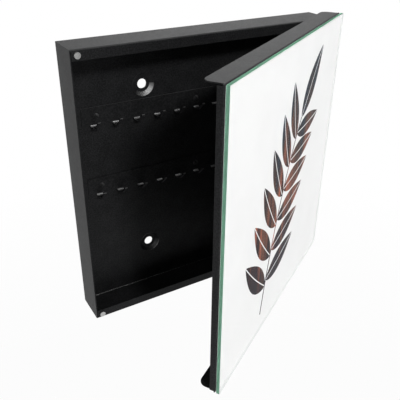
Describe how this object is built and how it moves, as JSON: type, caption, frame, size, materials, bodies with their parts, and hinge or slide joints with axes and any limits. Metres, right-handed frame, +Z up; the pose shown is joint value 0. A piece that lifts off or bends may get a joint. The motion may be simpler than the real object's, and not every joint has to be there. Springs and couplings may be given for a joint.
{
  "type": "wall key box",
  "caption": "Square wall-mounted steel key box with rows of hooks inside and a magnetic, glass-fronted door on hidden side hinges.",
  "frame": {"origin": "centre of the four wall-screw holes, on the wall", "axes": "+Z up, +Y into the wall, so the front faces -Y; +X to the right seen from the front, the hinge side"},
  "size_m": [0.3156, 0.1971, 0.3004],
  "materials": {
    "powder_coat": "fine-texture matt anthracite powder coat",
    "clear_glass": "polished float glass with a green edge",
    "white_film": "white printed film seen through the glass",
    "foam_tape": "matt foam",
    "nickel": "bright nickel plate",
    "black_plastic": "matt",
    "white_plastic": "matt",
    "bronze": "sintered, oiled",
    "zinc_steel": "zinc plated"
  },
  "bodies": {
    "case": {"case_shell": "powder_coat", "upper_hook_rail": "powder_coat", "lower_hook_rail": "powder_coat", "upper_rail_rivets": "powder_coat", "lower_rail_rivets": "powder_coat", "upper_catch_magnet": "nickel", "lower_catch_magnet": "nickel", "upper_magnet_cup": "black_plastic", "lower_magnet_cup": "black_plastic", "upper_hinge_bracket": "zinc_steel", "lower_hinge_bracket": "zinc_steel", "upper_bracket_rivets": "powder_coat", "lower_bracket_rivets": "powder_coat", "upper_hinge_pin": "zinc_steel", "lower_hinge_pin": "zinc_steel", "upper_pin_clip": "zinc_steel", "lower_pin_clip": "zinc_steel", "upper_thrust_washer": "white_plastic", "lower_thrust_washer": "white_plastic"},
    "door": {"door_pan": "powder_coat", "glass_panel": "clear_glass", "glass_backing": "white_film", "top_tape": "foam_tape", "bottom_tape": "foam_tape", "left_tape": "foam_tape", "right_tape": "foam_tape", "upper_hinge_arm": "zinc_steel", "lower_hinge_arm": "zinc_steel", "upper_arm_bush": "bronze", "lower_arm_bush": "bronze", "upper_arm_studs": "zinc_steel", "lower_arm_studs": "zinc_steel", "upper_arm_nuts": "zinc_steel", "lower_arm_nuts": "zinc_steel"}
  },
  "joints": [
    {"name": "door_hinge", "type": "hinge", "parent": "case", "child": "door", "pos_m": [0.1395, -0.012, 0], "axis": [0, 0, 1], "range_deg": [-32, 58]}
  ]
}
